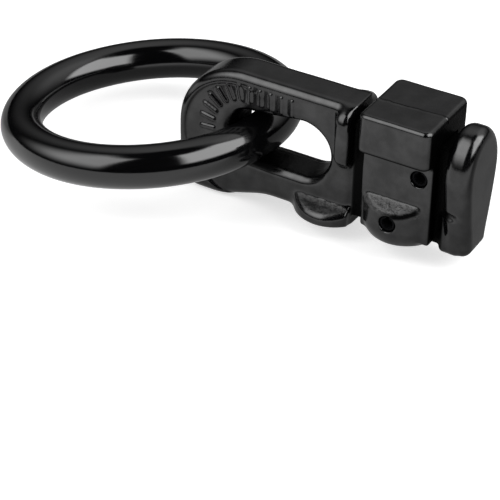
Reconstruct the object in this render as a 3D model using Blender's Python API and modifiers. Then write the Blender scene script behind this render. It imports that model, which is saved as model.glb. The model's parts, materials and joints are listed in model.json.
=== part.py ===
# Double stud fitting for an L-section cargo track, with a loose round ring in its eye.
# The casting runs along X from the eye to the stud foot. Z is the direction of the track that
# the foot slides in, and Y is across the fitting. A sprung plunger straddles the casting's web.
# Sizes are in millimetres here and become metres where a shape is made.
import math

import bmesh
import bpy
from mathutils import Vector
from mathutils.geometry import interpolate_bezier

MM = 0.001
BOOLEAN_SOLVER = "EXACT"

# Heights are drawing heights, and positions along X are measured from the plunger's rear face.
# place() moves both, so that the origin is the middle of the fitting's footprint.

# Eye plate
PLATE_THICKNESS = 12.1
PLATE_ROUNDING = 2.4
ARM_TOP = 41.8
ARM_BOTTOM = 5.1
HEAD_RADIUS = 21.4          # upper corner of the eye's head
HEAD_LOW_RADIUS = 6.5       # lower corner of the eye's head
HEAD_BOTTOM = 0.6           # the fitting's lowest point
HEAD_BOW = 2.2              # how strongly the head's outer end bows out between its corners
HEAD_WALL = 14.4            # from the eye's outer end to its hole
HOLE_LENGTH = 34.4
HOLE_HEIGHT = 17.8
HOLE_BOTTOM = 15.0
HOLE_TO_SHOULDER = 7.0      # from the hole's inner end to the shoulder face
HEAD_BLEND = 20.0           # length over which the head's low side rises to the arm
HEAD_FLAT = 5.0             # straight stretch at the head's lowest side
RECESS_RADIUS = 18.6
RECESS_CENTRE = (-39.2, 19.9)   # along X, and height
RECESS_DEPTH = 0.9
RECESS_CUT = 12.0           # thickness of the disc that cuts the recess
RECESS_FADE = 2.6           # degrees by which the recess floor runs out towards the neck

# Shoulder pad behind the plunger, and the round heel under it
PAD_LENGTH = 4.8
PAD_WIDTH = 18.6
PAD_TOP = 41.0
PAD_BOTTOM = 23.4
PAD_CORNER = 4.0
PAD_ROUNDING = 1.1
HEEL_RADIUS = 11.1
HEEL_FROM_SHOULDER = 8.3    # heel's upright axis, back from the shoulder face
HEEL_BOTTOM = 5.2
HEEL_RIM_TOP = 8.4
HEEL_ROOT_TOP = 10.4
EDGE_SOFT = 0.9             # small softened edge on turned forms
FORGING_STEP = 0.2          # step between two forms of the casting that end near one plane

# Web that carries the plunger
WEB_WIDTH = 9.6
WEB_BOTTOM = 8.0
WEB_BLEND = 3.0             # how far the web runs into the plate and the foot

# Plunger
PLUNGER_LENGTH = 20.7
PLUNGER_TRAVEL = 3.4        # back towards the shoulder
PLUNGER_END_GAP = 0.6       # left between shoulder and plunger at the end of the travel
CAP_WIDTH = 23.0
CAP_TOP = 44.2
CAP_HEIGHT = 11.3
CAP_ROOF = 6.3              # metal left over the slot that straddles the web
CAP_ROUNDING = 1.5
CHEEK_WIDTH = 16.2
CHEEK_BOTTOM = 8.2
CHEEK_ROUNDING = 0.8
LOBE_RADIUS = 11.8
LOBE_FROM_REAR = 9.7
LOBE_BOTTOM = 6.0
LOBE_RIM_BOTTOM = 9.3
LOBE_RIM_TOP = 16.9
LOBE_ROOT_TOP = 19.8
WEB_CLEARANCE = 0.3

# Roll pins and the springs that push on them
PIN_RADIUS = 2.3
PIN_BORE = 1.45
PIN_SLIT = 0.9
PIN_SEAT = 0.15             # radial gap between a pin and its hole
PIN_SET_BACK = 0.7          # how far a pin's ends lie below the plunger's surface
UPPER_PIN = (16.6, 28.1)    # along X from the rear face, and height
LOWER_PIN = (9.9, 13.8)
SPRING_LENGTH = 7.0
SPRING_DIAMETER = 5.4       # outside the coils
SPRING_WIRE = 0.75
SPRING_TURNS = 4
WINDOW_CLEARANCE = 0.3      # above, below and behind what a window holds

# Stud foot
FOOT_GAP = 3.1              # the track's lips lie in this gap
FOOT_THICKNESS = 7.7
STUD_WIDTH = 19.8           # passes a 20 mm track hole
STUD_TOP = 43.5
STUD_MIDDLE = 30.8          # height of the stud's widest place
STUD_ROUNDING = 2.3
TAIL_WIDTH = 12.2
TAIL_BOTTOM = 6.2
TAIL_CORNER = 2.6
TAIL_TOP = 18.6
TAIL_STEP = 1.5             # how far the tail stands out behind the stud
TAIL_ROUNDING = 1.6
NOTCH_RADIUS = 1.5          # pinch between the stud and the tail, on the side of the lips
NOTCH_HEIGHT = 19.6
NOTCH_SPREAD = 26.0         # degrees by which the pinch runs out of the foot's side
NOTCH_LENGTH = 14.0

# Ring
RING_RADIUS = 37.6          # to the middle of the wire
RING_WIRE = 12.0
RING_DROOP = 7.2            # degrees by which the ring's far end hangs below level
RING_LEAN = 2.9             # degrees by which one side of the ring lies above the other
RING_SEAT = 1.1             # from the hole's lower side to the leaning wire
RING_PLAY = 4.3             # from the hole's outer end to the wire
RING_ASIDE = 0.5            # how far the ring lies to one side of the eye

# Places that follow from the sizes above: heights, and along X from the plunger's rear face
CAP_BOTTOM = CAP_TOP - CAP_HEIGHT
WEB_TOP = CAP_TOP - CAP_ROOF - WEB_CLEARANCE
SHOULDER = -PLUNGER_TRAVEL - PLUNGER_END_GAP
HOLE_END = SHOULDER - HOLE_TO_SHOULDER
HOLE_START = HOLE_END - HOLE_LENGTH
EYE_END = HOLE_START - HEAD_WALL
FOOT_START = PLUNGER_LENGTH + FOOT_GAP
FOOT_END = FOOT_START + FOOT_THICKNESS
RING_PIVOT_X = HOLE_START + RING_PLAY + RING_WIRE / 2
RING_PIVOT_Z = HOLE_BOTTOM + RING_SEAT + RING_WIRE / 2
RING_CENTRE_X = RING_PIVOT_X - RING_RADIUS * math.cos(math.radians(RING_DROOP))
RING_END = RING_CENTRE_X - RING_RADIUS * math.cos(math.radians(RING_DROOP)) - RING_WIRE / 2
ORIGIN_SHIFT = -(RING_END + FOOT_END) / 2


def clear_scene():
    for item in list(bpy.data.objects):
        bpy.data.objects.remove(item, do_unlink=True)


def make_collection(name, hidden=False):
    collection = bpy.data.collections.new(name)
    bpy.context.scene.collection.children.link(collection)
    collection.hide_render = hidden
    return collection


def principled(name, colour, roughness, metallic):
    material = bpy.data.materials.new(name)
    material.use_nodes = True
    shader = material.node_tree.nodes["Principled BSDF"]
    shader.inputs["Base Color"].default_value = (*colour, 1.0)
    shader.inputs["Roughness"].default_value = roughness
    shader.inputs["Metallic"].default_value = metallic
    return material


def place(x, y, z):
    """A point given in millimetres from the plunger's rear face, in metres from the origin."""
    return Vector((x + ORIGIN_SHIFT, y, z - HEAD_BOTTOM)) * MM


def object_from_bmesh(name, mesh_data, collection):
    mesh = bpy.data.meshes.new(name)
    bmesh.ops.recalc_face_normals(mesh_data, faces=mesh_data.faces)
    mesh_data.to_mesh(mesh)
    mesh_data.free()
    item = bpy.data.objects.new(name, mesh)
    collection.objects.link(item)
    return item


def round_edges(item, width, segments=3, angle=35):
    bevel = item.modifiers.new("rounded_edges", "BEVEL")
    bevel.width = width * MM
    bevel.segments = segments
    bevel.limit_method = "ANGLE"
    bevel.angle_limit = math.radians(angle)


def block(name, low, high, collection, rounding=0.0, segments=3):
    """A box between two corners, in millimetres."""
    data = bmesh.new()
    bmesh.ops.create_cube(data, size=1.0)
    size = Vector(high) - Vector(low)
    bmesh.ops.scale(data, vec=size * MM, verts=data.verts)
    item = object_from_bmesh(name, data, collection)
    item.location = place(*((Vector(low) + Vector(high)) / 2))
    if rounding:
        round_edges(item, rounding, segments)
    return item


def rod(name, radius, length, centre, axis, collection, sides=40):
    """A cylinder about a line through centre along axis, in millimetres."""
    data = bmesh.new()
    bmesh.ops.create_cone(data, cap_ends=True, segments=sides, radius1=radius * MM,
                          radius2=radius * MM, depth=length * MM)
    item = object_from_bmesh(name, data, collection)
    item.rotation_euler = Vector((0, 0, 1)).rotation_difference(Vector(axis)).to_euler()
    item.location = place(*centre)
    return item


def turned(name, profile, x, collection, sides=48):
    """A profile of (radius, height) points turned about an upright line at x."""
    data = bmesh.new()
    points = [data.verts.new(Vector((radius, 0, height)) * MM) for radius, height in profile]
    for first, second in zip(points, points[1:]):
        data.edges.new((first, second))
    mesh = bpy.data.meshes.new(name)
    data.to_mesh(mesh)
    data.free()
    item = bpy.data.objects.new(name, mesh)
    collection.objects.link(item)
    item.location = place(x, 0, 0)
    screw = item.modifiers.new("turn", "SCREW")
    screw.steps = screw.render_steps = sides
    screw.use_merge_vertices = True
    screw.merge_threshold = 0.00001
    screw.use_normal_calculate = True
    return item


def curve_to_mesh(curve_object, collection):
    """The same shape as a welded mesh object. The curve itself is removed."""
    depsgraph = bpy.context.evaluated_depsgraph_get()
    mesh = bpy.data.meshes.new_from_object(curve_object.evaluated_get(depsgraph))
    data = bmesh.new()
    data.from_mesh(mesh)
    bmesh.ops.remove_doubles(data, verts=data.verts, dist=0.000005)
    bmesh.ops.recalc_face_normals(data, faces=data.faces)
    data.to_mesh(mesh)
    data.free()
    name = curve_object.name
    item = bpy.data.objects.new(name, mesh)
    item.matrix_world = curve_object.matrix_world.copy()
    bpy.data.objects.remove(curve_object, do_unlink=True)
    item.name = name
    collection.objects.link(item)
    return item


def flatten(outline, steps):
    """Points along a closed outline of Bezier knots. A straight side gives its start alone."""
    points = []
    for (start, _, leave), (end, arrive, _) in zip(outline, outline[1:] + outline[:1]):
        if leave == start and arrive == end:
            points.append(start)
            continue
        run = interpolate_bezier(*(Vector((*p, 0)) for p in (start, leave, arrive, end)), steps + 1)
        points += [(p.x, p.y) for p in run[:-1]]
    return points


def plate(name, outlines, thickness, rounding, collection, steps=8):
    """A flat plate from closed outlines of (point, handle before, handle after) in millimetres.

    The first outline is the outside, and the others are holes. The plate lies in the curve's own
    XY plane, with its edges rounded within its thickness.
    """
    data = bpy.data.curves.new(name, "CURVE")
    data.dimensions = "2D"
    data.fill_mode = "BOTH"
    data.extrude = (thickness / 2 - rounding) * MM
    data.bevel_depth = rounding * MM
    data.bevel_resolution = 2
    data.offset = -rounding * MM
    for outline in outlines:
        points = flatten(outline, steps)
        spline = data.splines.new("POLY")
        spline.points.add(len(points) - 1)
        spline.use_cyclic_u = True
        for corner, (x, y) in zip(spline.points, points):
            corner.co = (x * MM, y * MM, 0, 1)
    item = bpy.data.objects.new(name, data)
    collection.objects.link(item)
    bpy.context.view_layer.update()
    return item


KAPPA = 0.5523              # handle length that makes a Bezier quarter arc of radius one


def knot(x, z, before=(0, 0), after=(0, 0)):
    return ((x, z), (x + before[0], z + before[1]), (x + after[0], z + after[1]))


def ledge_outline(half_flat, flat_top, half_rim, rim_top, bottom):
    """A flat top between two sides that slope down and outwards, as seen from the end."""
    past = half_rim + 1
    low = rim_top - (flat_top - rim_top) / (half_rim - half_flat)
    return [knot(-past, bottom), knot(past, bottom), knot(past, low), knot(half_flat, flat_top),
            knot(-half_flat, flat_top), knot(-past, low)]


def rounded_outline(left, right, bottom, top, radius_x, radius_z):
    """A closed outline of four quarter arcs joined by straight lines."""
    kx, kz = radius_x * KAPPA, radius_z * KAPPA
    return [
        knot(left, bottom + radius_z, after=(0, -kz)),
        knot(left + radius_x, bottom, before=(-kx, 0)),
        knot(right - radius_x, bottom, after=(kx, 0)),
        knot(right, bottom + radius_z, before=(0, -kz)),
        knot(right, top - radius_z, after=(0, kz)),
        knot(right - radius_x, top, before=(kx, 0)),
        knot(left + radius_x, top, after=(-kx, 0)),
        knot(left, top - radius_z, before=(0, kz)),
    ]


def cutter(item):
    item.hide_render = True
    item.display_type = "WIRE"
    return item


def combine(item, other, operation):
    cutter(other)
    step = item.modifiers.new(f"{operation.lower()}_{other.name}", "BOOLEAN")
    step.operation = operation
    step.solver = BOOLEAN_SOLVER
    step.object = other


def eye_outline():
    """Outside of the eye plate, from its outer end round to the shoulder."""
    low_kappa = HEAD_LOW_RADIUS * KAPPA
    top_kappa = HEAD_RADIUS * KAPPA
    low_start = EYE_END + HEAD_LOW_RADIUS
    blend_start = low_start + HEAD_FLAT
    blend_end = blend_start + HEAD_BLEND
    plate_end = SHOULDER - 2 * FORGING_STEP
    return [
        knot(EYE_END, HEAD_BOTTOM + HEAD_LOW_RADIUS, before=(0, HEAD_BOW), after=(0, -low_kappa)),
        knot(low_start, HEAD_BOTTOM, before=(-low_kappa, 0)),
        knot(blend_start, HEAD_BOTTOM, after=(HEAD_BLEND / 2, 0)),
        knot(blend_end, ARM_BOTTOM, before=(-HEAD_BLEND / 2, 0)),
        knot(plate_end, ARM_BOTTOM),
        knot(plate_end, ARM_TOP),
        knot(EYE_END + HEAD_RADIUS, ARM_TOP, after=(-top_kappa, 0)),
        knot(EYE_END, ARM_TOP - HEAD_RADIUS, before=(0, top_kappa), after=(0, -HEAD_BOW)),
    ]


def stand_plate_up(item, x_of_zero=0.0):
    """Turns a plate drawn in XY into one that stands in XZ."""
    item.rotation_euler = (math.radians(90), 0, 0)
    item.location = place(x_of_zero, 0, 0)
    bpy.context.view_layer.update()


def face_plate_along_x(item, x):
    """Turns a plate drawn in XY into one that stands in YZ, with its middle at x."""
    item.rotation_euler = (math.radians(90), 0, math.radians(90))
    item.location = place(x, 0, 0)
    bpy.context.view_layer.update()


def make_body(parts, cutters):
    half_hole = HOLE_HEIGHT / 2
    hole = rounded_outline(HOLE_START, HOLE_END, HOLE_BOTTOM, HOLE_BOTTOM + HOLE_HEIGHT,
                           half_hole, half_hole)
    eye = plate("body_casting", [eye_outline(), hole], PLATE_THICKNESS, PLATE_ROUNDING, parts)
    stand_plate_up(eye)
    body = curve_to_mesh(eye, parts)

    pad_outline = rounded_outline(-PAD_WIDTH / 2, PAD_WIDTH / 2, PAD_BOTTOM, PAD_TOP,
                                  PAD_CORNER, PAD_CORNER)
    pad = plate("shoulder_pad", [pad_outline], PAD_LENGTH, PAD_ROUNDING, cutters, steps=5)
    face_plate_along_x(pad, SHOULDER - PAD_LENGTH / 2)
    combine(body, curve_to_mesh(pad, cutters), "UNION")

    heel_profile = [
        (0, HEEL_ROOT_TOP), (HEEL_RADIUS, HEEL_ROOT_TOP), (HEEL_RADIUS, HEEL_BOTTOM + EDGE_SOFT),
        (HEEL_RADIUS - EDGE_SOFT, HEEL_BOTTOM), (0, HEEL_BOTTOM)]
    heel = turned("heel", heel_profile, SHOULDER - HEEL_FROM_SHOULDER, cutters)
    past = HEEL_RADIUS * 2
    heel_ledge = ledge_outline(PLATE_THICKNESS / 2, HEEL_ROOT_TOP - FORGING_STEP, HEEL_RADIUS,
                               HEEL_RIM_TOP, HEEL_BOTTOM - EDGE_SOFT)
    slopes = plate("heel_ledge", [heel_ledge], 2 * past, 0, cutters)
    face_plate_along_x(slopes, SHOULDER - HEEL_FROM_SHOULDER)
    combine(heel, curve_to_mesh(slopes, cutters), "INTERSECT")
    heel_end = SHOULDER - FORGING_STEP
    trim = block("heel_trim", (heel_end, -past, HEEL_BOTTOM - past),
                 (heel_end + past, past, HEEL_ROOT_TOP + past), cutters)
    combine(heel, trim, "DIFFERENCE")
    combine(body, heel, "UNION")

    web = block("web", (SHOULDER - WEB_BLEND, -WEB_WIDTH / 2, WEB_BOTTOM),
                (FOOT_START + WEB_BLEND, WEB_WIDTH / 2, WEB_TOP), cutters)
    combine(body, web, "UNION")
    make_foot(body, cutters)

    for pin_name, (pin_x, pin_z) in (("upper", UPPER_PIN), ("lower", LOWER_PIN)):
        half = SPRING_DIAMETER / 2 + WINDOW_CLEARANCE
        low_x = pin_x - PIN_RADIUS - SPRING_LENGTH - 2 * WINDOW_CLEARANCE
        high_x = pin_x + PIN_RADIUS + WINDOW_CLEARANCE
        window = block(f"{pin_name}_window", (low_x, -WEB_WIDTH, pin_z - half),
                       (high_x, WEB_WIDTH, pin_z + half), cutters)
        combine(body, window, "DIFFERENCE")

    for side in (-1, 1):
        tilt = math.radians(RECESS_FADE)
        out = PLATE_THICKNESS / 2 + RECESS_CUT / 2 - RECESS_DEPTH / 2
        recess = rod(f"recess_{'near' if side < 0 else 'far'}", RECESS_RADIUS, RECESS_CUT,
                     (RECESS_CENTRE[0], side * out, RECESS_CENTRE[1]),
                     (side * math.sin(tilt), side * math.cos(tilt), 0), cutters, sides=64)
        combine(body, recess, "DIFFERENCE")
    return body


def foot_outline():
    """The round stud and the tail that narrows below it, as seen from the end."""
    half, low = STUD_WIDTH / 2, TAIL_WIDTH / 2
    rise = (STUD_TOP - STUD_MIDDLE) * KAPPA
    turn = TAIL_CORNER * KAPPA
    low_end = TAIL_BOTTOM + TAIL_CORNER
    third = (STUD_MIDDLE - low_end) / 3
    lean = (half - low) / 3
    return [
        knot(-low + TAIL_CORNER, TAIL_BOTTOM, before=(-turn, 0)),
        knot(low - TAIL_CORNER, TAIL_BOTTOM, after=(turn, 0)),
        knot(low, low_end, before=(0, -turn), after=(lean, third)),
        knot(half, STUD_MIDDLE, before=(0, -third / 2), after=(0, rise)),
        knot(0, STUD_TOP, before=(half * KAPPA, 0), after=(-half * KAPPA, 0)),
        knot(-half, STUD_MIDDLE, before=(0, rise), after=(0, -third / 2)),
        knot(-low, low_end, before=(-lean, third), after=(0, -turn)),
    ]


def make_foot(body, cutters):
    stud = plate("stud", [foot_outline()], FOOT_THICKNESS, STUD_ROUNDING, cutters)
    face_plate_along_x(stud, (FOOT_START + FOOT_END) / 2)
    combine(body, curve_to_mesh(stud, cutters), "UNION")
    half_tail = TAIL_WIDTH / 2 - FORGING_STEP
    tail = block("tail", (FOOT_START - TAIL_STEP, -half_tail, TAIL_BOTTOM + FORGING_STEP),
                 (FOOT_END - STUD_ROUNDING, half_tail, TAIL_TOP), cutters, TAIL_ROUNDING)
    combine(body, tail, "UNION")
    ahead, aside = math.cos(math.radians(NOTCH_SPREAD)), math.sin(math.radians(NOTCH_SPREAD))
    middle = NOTCH_LENGTH / 2 - TAIL_STEP - FORGING_STEP
    out = half_tail + NOTCH_RADIUS - FORGING_STEP + middle * aside
    for side in (-1, 1):
        notch = rod(f"foot_notch_{'near' if side < 0 else 'far'}", NOTCH_RADIUS, NOTCH_LENGTH,
                    (FOOT_START + middle * ahead, side * out, NOTCH_HEIGHT),
                    (ahead, side * aside, 0), cutters, sides=24)
        combine(body, notch, "DIFFERENCE")


def make_plunger(parts, cutters):
    cap = block("plunger", (0, -CAP_WIDTH / 2, CAP_BOTTOM), (PLUNGER_LENGTH, CAP_WIDTH / 2, CAP_TOP),
                parts, CAP_ROUNDING)
    cheeks = block("cheeks", (0, -CHEEK_WIDTH / 2, CHEEK_BOTTOM),
                   (PLUNGER_LENGTH, CHEEK_WIDTH / 2, CAP_BOTTOM + CAP_ROUNDING), cutters, CHEEK_ROUNDING)
    combine(cap, cheeks, "UNION")
    lobe_profile = [
        (0, LOBE_ROOT_TOP), (LOBE_RADIUS, LOBE_ROOT_TOP), (LOBE_RADIUS, LOBE_RIM_BOTTOM),
        (LOBE_RADIUS - EDGE_SOFT, LOBE_RIM_BOTTOM - 1.5 * EDGE_SOFT),
        (CHEEK_WIDTH / 2, LOBE_BOTTOM), (0, LOBE_BOTTOM)]
    lobe = turned("lobe", lobe_profile, LOBE_FROM_REAR, cutters)
    past = LOBE_RADIUS * 2
    lobe_ledge = ledge_outline(CHEEK_WIDTH / 2, LOBE_ROOT_TOP - FORGING_STEP, LOBE_RADIUS,
                               LOBE_RIM_TOP, LOBE_BOTTOM - EDGE_SOFT)
    slopes = plate("lobe_ledge", [lobe_ledge], 2 * past, 0, cutters)
    face_plate_along_x(slopes, LOBE_FROM_REAR)
    combine(lobe, curve_to_mesh(slopes, cutters), "INTERSECT")
    ends = (("rear", (-past, 0)), ("front", (PLUNGER_LENGTH, PLUNGER_LENGTH + past)))
    for end, (low_x, high_x) in ends:
        trim = block(f"lobe_trim_{end}", (low_x, -past, LOBE_BOTTOM - past),
                     (high_x, past, LOBE_ROOT_TOP + past), cutters)
        combine(lobe, trim, "DIFFERENCE")
    combine(cap, lobe, "UNION")
    slot_half = WEB_WIDTH / 2 + WEB_CLEARANCE
    slot = block("web_slot", (-PLUNGER_LENGTH, -slot_half, -CAP_TOP),
                 (2 * PLUNGER_LENGTH, slot_half, WEB_TOP + WEB_CLEARANCE), cutters)
    combine(cap, slot, "DIFFERENCE")
    for pin_name, (pin_x, pin_z) in (("upper", UPPER_PIN), ("lower", LOWER_PIN)):
        hole = rod(f"{pin_name}_pin_hole", PIN_RADIUS + PIN_SEAT, CAP_WIDTH * 2,
                   (pin_x, 0, pin_z), (0, 1, 0), cutters)
        combine(cap, hole, "DIFFERENCE")
    return cap


def make_pin(name, pin_x, pin_z, half_length, parts):
    """A roll pin: a slit tube along Y, drawn as a C-shaped outline and given its length."""
    data = bpy.data.curves.new(name, "CURVE")
    data.dimensions = "2D"
    data.fill_mode = "BOTH"
    data.extrude = half_length * MM
    sweep = 2 * math.pi - PIN_SLIT / PIN_RADIUS
    start = math.pi / 2 + PIN_SLIT / PIN_RADIUS / 2
    steps = 28
    outer = [start + sweep * i / steps for i in range(steps + 1)]
    ring = [(PIN_RADIUS * math.cos(a), PIN_RADIUS * math.sin(a)) for a in outer]
    ring += [(PIN_BORE * math.cos(a), PIN_BORE * math.sin(a)) for a in reversed(outer)]
    spline = data.splines.new("POLY")
    spline.points.add(len(ring) - 1)
    spline.use_cyclic_u = True
    for point, (x, z) in zip(spline.points, ring):
        point.co = (x * MM, z * MM, 0, 1)
    item = bpy.data.objects.new(name, data)
    parts.objects.link(item)
    item.rotation_euler = (math.radians(90), 0, 0)
    item.location = place(pin_x, 0, pin_z)
    bpy.context.view_layer.update()
    return curve_to_mesh(item, parts)


def make_spring(name, pin_x, pin_z, parts):
    """A coil spring along X, between the window's rear end and the pin."""
    coil_radius = (SPRING_DIAMETER - SPRING_WIRE) / 2
    start = pin_x - PIN_RADIUS - WINDOW_CLEARANCE - SPRING_LENGTH + SPRING_WIRE / 2
    rise = SPRING_LENGTH - SPRING_WIRE
    steps_per_turn = 14
    count = SPRING_TURNS * steps_per_turn
    data = bpy.data.curves.new(name, "CURVE")
    data.dimensions = "3D"
    data.bevel_depth = SPRING_WIRE / 2 * MM
    data.bevel_resolution = 2
    data.use_fill_caps = True
    spline = data.splines.new("POLY")
    spline.points.add(count)
    for index, point in enumerate(spline.points):
        turn = 2 * math.pi * index / steps_per_turn
        share = index / count
        point.co = (rise * share * MM, coil_radius * math.cos(turn) * MM,
                    coil_radius * math.sin(turn) * MM, 1)
    item = bpy.data.objects.new(name, data)
    parts.objects.link(item)
    item.location = place(start, 0, pin_z)
    bpy.context.view_layer.update()
    return curve_to_mesh(item, parts)


def make_ring(parts):
    """The ring turns about the stretch of its wire that lies in the eye."""
    pivot = bpy.data.objects.new("ring_pivot", None)
    parts.objects.link(pivot)
    pivot.location = place(RING_PIVOT_X, 0, RING_PIVOT_Z)
    pivot.rotation_euler = (-math.radians(RING_LEAN), -math.radians(RING_DROOP), 0)
    bpy.ops.mesh.primitive_torus_add(major_radius=RING_RADIUS * MM, minor_radius=RING_WIRE / 2 * MM,
                                     major_segments=72, minor_segments=20)
    ring = bpy.context.active_object
    ring.name = ring.data.name = "ring"
    for collection in list(ring.users_collection):
        collection.objects.unlink(ring)
    parts.objects.link(ring)
    ring.parent = pivot
    ring.location = (-RING_RADIUS * MM, RING_ASIDE * MM, 0)
    return ring


def finish(item, material, sharp_angle=35):
    item.data.materials.clear()
    item.data.materials.append(material)
    item.data.shade_smooth()
    item.data.set_sharp_from_angle(angle=math.radians(sharp_angle))


def main():
    clear_scene()
    parts = make_collection("double_stud_fitting")
    cutters = make_collection("cutters", hidden=True)
    black_coat = principled("black_coat_on_cast_steel", (0.010, 0.010, 0.011), 0.30, 0.0)
    black_ring_coat = principled("black_coat_on_forged_ring", (0.008, 0.008, 0.009), 0.22, 0.0)
    pin_steel = principled("blackened_pin_steel", (0.02, 0.02, 0.022), 0.45, 0.6)
    spring_steel = principled("spring_steel", (0.30, 0.30, 0.31), 0.35, 1.0)

    finish(make_body(parts, cutters), black_coat)
    finish(make_plunger(parts, cutters), black_coat)
    upper_half = CHEEK_WIDTH / 2 - PIN_SET_BACK
    lower_half = LOBE_RADIUS - PIN_SET_BACK
    finish(make_pin("upper_roll_pin", *UPPER_PIN, upper_half, parts), pin_steel)
    finish(make_pin("lower_roll_pin", *LOWER_PIN, lower_half, parts), pin_steel)
    finish(make_spring("upper_spring", *UPPER_PIN, parts), spring_steel)
    finish(make_spring("lower_spring", *LOWER_PIN, parts), spring_steel)
    finish(make_ring(parts), black_ring_coat)
    bpy.context.view_layer.update()


main()
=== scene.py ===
# Looks of a double stud fitting for L-section cargo track: a cast eye with a loose forged ring, and
# a sprung plunger that carries two roll pins. Castings and ring have a glossy black coat.
import json
import math

import bpy
import numpy as np
from mathutils import Matrix, Vector


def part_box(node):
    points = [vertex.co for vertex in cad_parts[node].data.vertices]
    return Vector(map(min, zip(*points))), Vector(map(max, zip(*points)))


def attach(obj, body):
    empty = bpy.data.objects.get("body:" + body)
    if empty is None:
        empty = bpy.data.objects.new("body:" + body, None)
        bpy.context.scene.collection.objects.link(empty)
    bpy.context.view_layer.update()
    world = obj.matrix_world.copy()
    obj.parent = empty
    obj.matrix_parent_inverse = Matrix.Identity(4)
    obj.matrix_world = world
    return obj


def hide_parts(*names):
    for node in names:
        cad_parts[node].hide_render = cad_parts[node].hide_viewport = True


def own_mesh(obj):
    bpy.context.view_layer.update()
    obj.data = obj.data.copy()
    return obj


print("loading the frame")
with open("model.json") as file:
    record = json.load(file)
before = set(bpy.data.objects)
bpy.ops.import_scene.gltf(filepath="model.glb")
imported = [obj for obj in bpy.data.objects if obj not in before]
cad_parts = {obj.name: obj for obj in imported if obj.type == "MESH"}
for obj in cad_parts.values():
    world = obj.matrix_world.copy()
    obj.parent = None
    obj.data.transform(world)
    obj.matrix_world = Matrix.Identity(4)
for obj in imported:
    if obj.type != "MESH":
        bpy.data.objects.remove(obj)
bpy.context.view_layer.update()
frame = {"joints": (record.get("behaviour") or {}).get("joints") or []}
scene = bpy.context.scene
millimetre = 0.001

# All forms below are drawn in millimetres: x from the plunger's rear face, z from the floor.
plungerLow, plungerHigh = (np.array(corner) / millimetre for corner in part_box("plunger"))
castingLow, castingHigh = (np.array(corner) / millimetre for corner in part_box("body_casting"))
rearFace = plungerLow[0]
plungerLength = plungerHigh[0] - plungerLow[0]
joints = {joint["name"]: joint for joint in frame["joints"]}
farAway = 20      # mm, past both sides of the castings, for forms that have no end there


# forms as distance fields: below zero inside the metal, in mm

def roundedMeet(a, b, radius):
    # the larger of two distances, with the outside edge between the two faces rounded
    corner = np.hypot(np.maximum(a + radius, 0), np.maximum(b + radius, 0))
    return np.minimum(-radius, np.maximum(a, b)) + corner


def filletJoin(a, b, fillet):
    # the smaller of two distances, with a hollow fillet in the inside corner
    near = np.maximum(fillet - np.abs(a - b), 0) / fillet
    return np.minimum(a, b) - near * near * fillet / 4


def cutOut(a, b, edge):
    # the form a with b taken out of it, and the rim of the cut rounded
    return roundedMeet(a, -b, edge)


def slab(value, low, high):
    # distance to the space between two parallel planes
    return np.abs(value - (low + high) / 2) - (high - low) / 2


def roundedBox(x, y, z, low, high, radius):
    # distance to a box between two corners, with all its edges rounded
    reach = [slab(value, lo, hi) + radius for value, lo, hi in zip((x, y, z), low, high)]
    outside = np.sqrt(sum(np.maximum(part, 0) ** 2 for part in reach))
    inside = np.minimum(np.maximum(np.maximum(reach[0], reach[1]), reach[2]), 0)
    return outside + inside - radius


def aboveLedge(piece, wallAt, y, z):
    # Height over a ledge that rises from its rim, at the piece's radius, to its root at the wall.
    # The second value turns such a height into a distance.
    slope = (piece["root"] - piece["rim"]) / (piece["radius"] - wallAt)
    return z - piece["rim"] - (piece["radius"] - np.abs(y)) * slope, math.hypot(1, slope)


def smoothRise(value, start, end):
    # 0 before start, 1 after end, with a level start and finish
    t = np.clip((value - start) / (end - start), 0, 1)
    return t * t * (3 - 2 * t)


def between(value, rise, fall):
    # 1 between two soft ends and 0 outside them; each end is where its fade starts and finishes
    return smoothRise(value, *rise) * (1 - smoothRise(value, *fall))


latticePrimes = (73856093, 19349663, 83492791)      # scatter neighbouring cells of a lattice
seedPrime = 2654435761
mixers = (2246822519, 3266489917)


def grain(x, y, z, size, seed):
    # smooth noise from -1 to 1: eight hashed corner values of a lattice cell, blended
    points = [np.asarray(value, float) / size for value in (x, y, z)]
    cells = [np.floor(value).astype(np.int64) for value in points]
    blends = [value - cell for value, cell in zip(points, cells)]
    blends = [t * t * (3 - 2 * t) for t in blends]
    total = 0.0
    for corner in range(8):
        step = [(corner >> axis) & 1 for axis in range(3)]
        parts = [(cell + side) * prime for cell, side, prime in zip(cells, step, latticePrimes)]
        mixed = (parts[0] ^ parts[1] ^ parts[2] ^ seed * seedPrime) & 0xFFFFFFFF
        for shift, mixer in zip((15, 13), mixers):
            mixed = (mixed ^ (mixed >> shift)) * mixer & 0xFFFFFFFF
        share = 1.0
        for t, side in zip(blends, step):
            share = share * (t if side else 1 - t)
        total = total + share * ((mixed ^ (mixed >> 16)) & 0xFFFF) / 0xFFFF
    return total * 2 - 1


def shifted(index, axes, backs):
    # the cells that lie one step back along the axes where backs holds a 1
    cell = index.copy()
    for axis, back in zip(axes, backs):
        cell[:, axis] -= back
    return cell


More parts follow.
